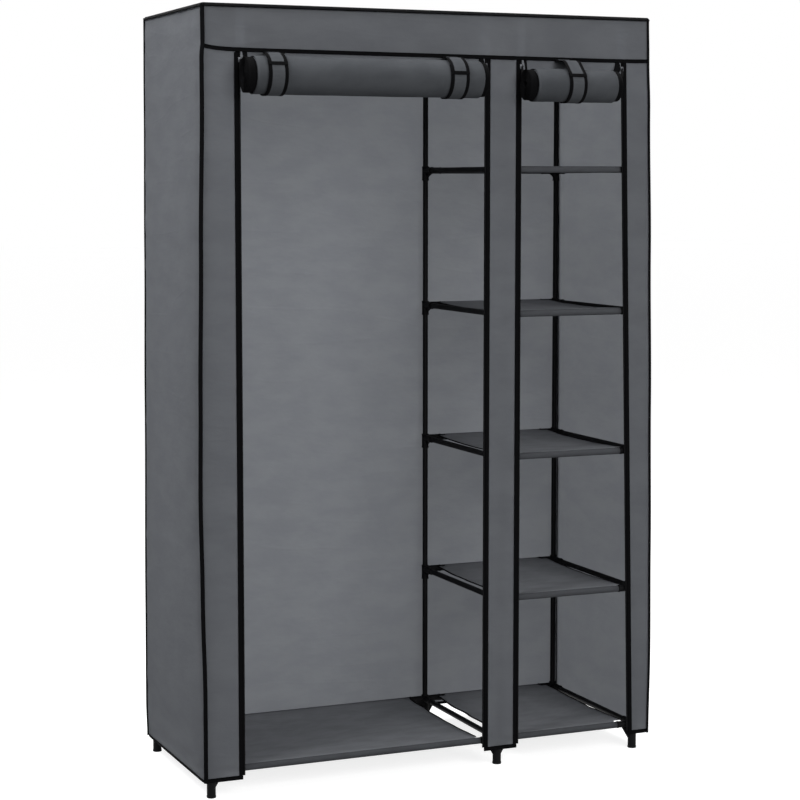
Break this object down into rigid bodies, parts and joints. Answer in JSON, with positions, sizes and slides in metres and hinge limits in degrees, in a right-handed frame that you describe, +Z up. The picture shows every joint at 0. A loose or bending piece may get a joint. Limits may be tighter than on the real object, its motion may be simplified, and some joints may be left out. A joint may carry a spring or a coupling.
{
  "type": "portable fabric wardrobe",
  "caption": "Free-standing cloth wardrobe: push-fit tube frame, hanging bay, bay of cloth shelves and zipped cover with roll-up doors.",
  "frame": {"origin": "on the floor, under the middle of the outline, which reaches from the front of the rolled doors to the back of the cover", "axes": "+Z up, the doors face -Y, and the shelf bay is on the +X side"},
  "size_m": [1.108, 0.5372, 1.75],
  "materials": {
    "frame_steel": "black powder coat on thin steel tube, with moulded black connectors",
    "connector_plastic": "matt black moulded polypropylene",
    "cover_cloth": "matt grey non-woven polypropylene with a fine bonded texture",
    "shelf_cloth": "matt dark grey non-woven polypropylene with black bound edges",
    "strap_cloth": "matt grey non-woven polypropylene edged with black tape",
    "zip_tape": "woven black polyester tape with a coil zip",
    "zip_metal": "plated zip slider",
    "pull_plastic": "black moulded zip pull"
  },
  "bodies": {
    "frame_and_cover": {"post_front_left": "frame_steel", "post_front_middle": "frame_steel", "post_front_right": "frame_steel", "post_back_left": "frame_steel", "post_back_middle": "frame_steel", "post_back_right": "frame_steel", "base_front_rail": "frame_steel", "base_back_rail": "frame_steel", "base_crossbar_left": "frame_steel", "base_crossbar_middle": "frame_steel", "base_crossbar_right": "frame_steel", "top_front_rail": "frame_steel", "top_back_rail": "frame_steel", "top_crossbar_left": "frame_steel", "top_crossbar_middle": "frame_steel", "top_crossbar_right": "frame_steel", "hanging_rail": "frame_steel", "hanging_rail_socket_left": "connector_plastic", "hanging_rail_socket_right": "connector_plastic", "shelf_frame_1": "frame_steel", "shelf_frame_2": "frame_steel", "shelf_frame_3": "frame_steel", "shelf_frame_4": "frame_steel", "base_shelf_left": "shelf_cloth", "base_shelf_right": "shelf_cloth", "shelf_1": "shelf_cloth", "shelf_2": "shelf_cloth", "shelf_3": "shelf_cloth", "shelf_4": "shelf_cloth", "cover_roof": "cover_cloth", "cover_header": "cover_cloth", "cover_back": "cover_cloth", "cover_left_side": "cover_cloth", "cover_right_side": "cover_cloth", "cover_left_flange": "cover_cloth", "cover_middle_strip": "cover_cloth", "cover_right_flange": "cover_cloth", "left_door_left_zip_tape": "zip_tape", "left_door_right_zip_tape": "zip_tape", "right_door_left_zip_tape": "zip_tape", "right_door_right_zip_tape": "zip_tape", "left_door_curtain": "cover_cloth", "right_door_curtain": "cover_cloth", "left_roll_strap_1_long": "strap_cloth", "left_roll_strap_2_long": "strap_cloth", "right_roll_strap_1_long": "strap_cloth"},
    "left_door": {"left_door_roll": "cover_cloth"},
    "right_door": {"right_door_roll": "cover_cloth"},
    "left_door_left_slider": {"left_door_left_zip_slider": "zip_metal"},
    "left_door_left_pull": {"left_door_left_zip_pull": "pull_plastic"},
    "left_door_right_slider": {"left_door_right_zip_slider": "zip_metal"},
    "left_door_right_pull": {"left_door_right_zip_pull": "pull_plastic"},
    "right_door_left_slider": {"right_door_left_zip_slider": "zip_metal"},
    "right_door_left_pull": {"right_door_left_zip_pull": "pull_plastic"},
    "right_door_right_slider": {"right_door_right_zip_slider": "zip_metal"},
    "right_door_right_pull": {"right_door_right_zip_pull": "pull_plastic"},
    "left_roll_flap_1": {"left_roll_strap_1_flap": "strap_cloth"},
    "left_roll_flap_2": {"left_roll_strap_2_flap": "strap_cloth"},
    "right_roll_flap_1": {"right_roll_strap_1_flap": "strap_cloth"}
  },
  "joints": [
    {"name": "left_door_travel", "type": "slide", "parent": "frame_and_cover", "child": "left_door", "axis": [0, 0, -1], "range_m": [0, 1.5], "deforming": ["left_door_curtain", "left_roll_strap_1_long", "left_roll_strap_2_long"]},
    {"name": "right_door_travel", "type": "slide", "parent": "frame_and_cover", "child": "right_door", "axis": [0, 0, -1], "range_m": [0, 1.49], "deforming": ["right_door_curtain", "right_roll_strap_1_long"]},
    {"name": "left_door_left_zip_slide", "type": "slide", "parent": "frame_and_cover", "child": "left_door_left_slider", "axis": [0, 0, -1], "range_m": [0, 1.57]},
    {"name": "left_door_left_pull_swing", "type": "hinge", "parent": "left_door_left_slider", "child": "left_door_left_pull", "pos_m": [-0.4602, -0.18915, 1.63], "axis": [-1, 0, 0], "range_deg": [0, 160]},
    {"name": "left_door_right_zip_slide", "type": "slide", "parent": "frame_and_cover", "child": "left_door_right_slider", "axis": [0, 0, -1], "range_m": [0, 1.57]},
    {"name": "left_door_right_pull_swing", "type": "hinge", "parent": "left_door_right_slider", "child": "left_door_right_pull", "pos_m": [0.1272, -0.18915, 1.63], "axis": [-1, 0, 0], "range_deg": [0, 160]},
    {"name": "right_door_left_zip_slide", "type": "slide", "parent": "frame_and_cover", "child": "right_door_left_slider", "axis": [0, 0, -1], "range_m": [0, 1.57]},
    {"name": "right_door_left_pull_swing", "type": "hinge", "parent": "right_door_left_slider", "child": "right_door_left_pull", "pos_m": [0.2198, -0.18915, 1.63], "axis": [-1, 0, 0], "range_deg": [0, 160]},
    {"name": "right_door_right_zip_slide", "type": "slide", "parent": "frame_and_cover", "child": "right_door_right_slider", "axis": [0.0212, 0, -0.9998], "range_m": [0, 1.57]},
    {"name": "right_door_right_pull_swing", "type": "hinge", "parent": "right_door_right_slider", "child": "right_door_right_pull", "pos_m": [0.47963, -0.18915, 1.62978], "axis": [-0.9998, 0, -0.0212], "range_deg": [0, 160]},
    {"name": "left_roll_flap_1_open", "type": "hinge", "parent": "frame_and_cover", "child": "left_roll_flap_1", "pos_m": [-0.402, -0.18635, 1.6517], "axis": [-1, 0, 0], "range_deg": [0, 95]},
    {"name": "left_roll_flap_2_open", "type": "hinge", "parent": "frame_and_cover", "child": "left_roll_flap_2", "pos_m": [0.018, -0.18635, 1.6517], "axis": [-1, 0, 0], "range_deg": [0, 95]},
    {"name": "right_roll_flap_1_open", "type": "hinge", "parent": "frame_and_cover", "child": "right_roll_flap_1", "pos_m": [0.327, -0.18635, 1.6517], "axis": [-1, 0, 0], "range_deg": [0, 95]}
  ]
}
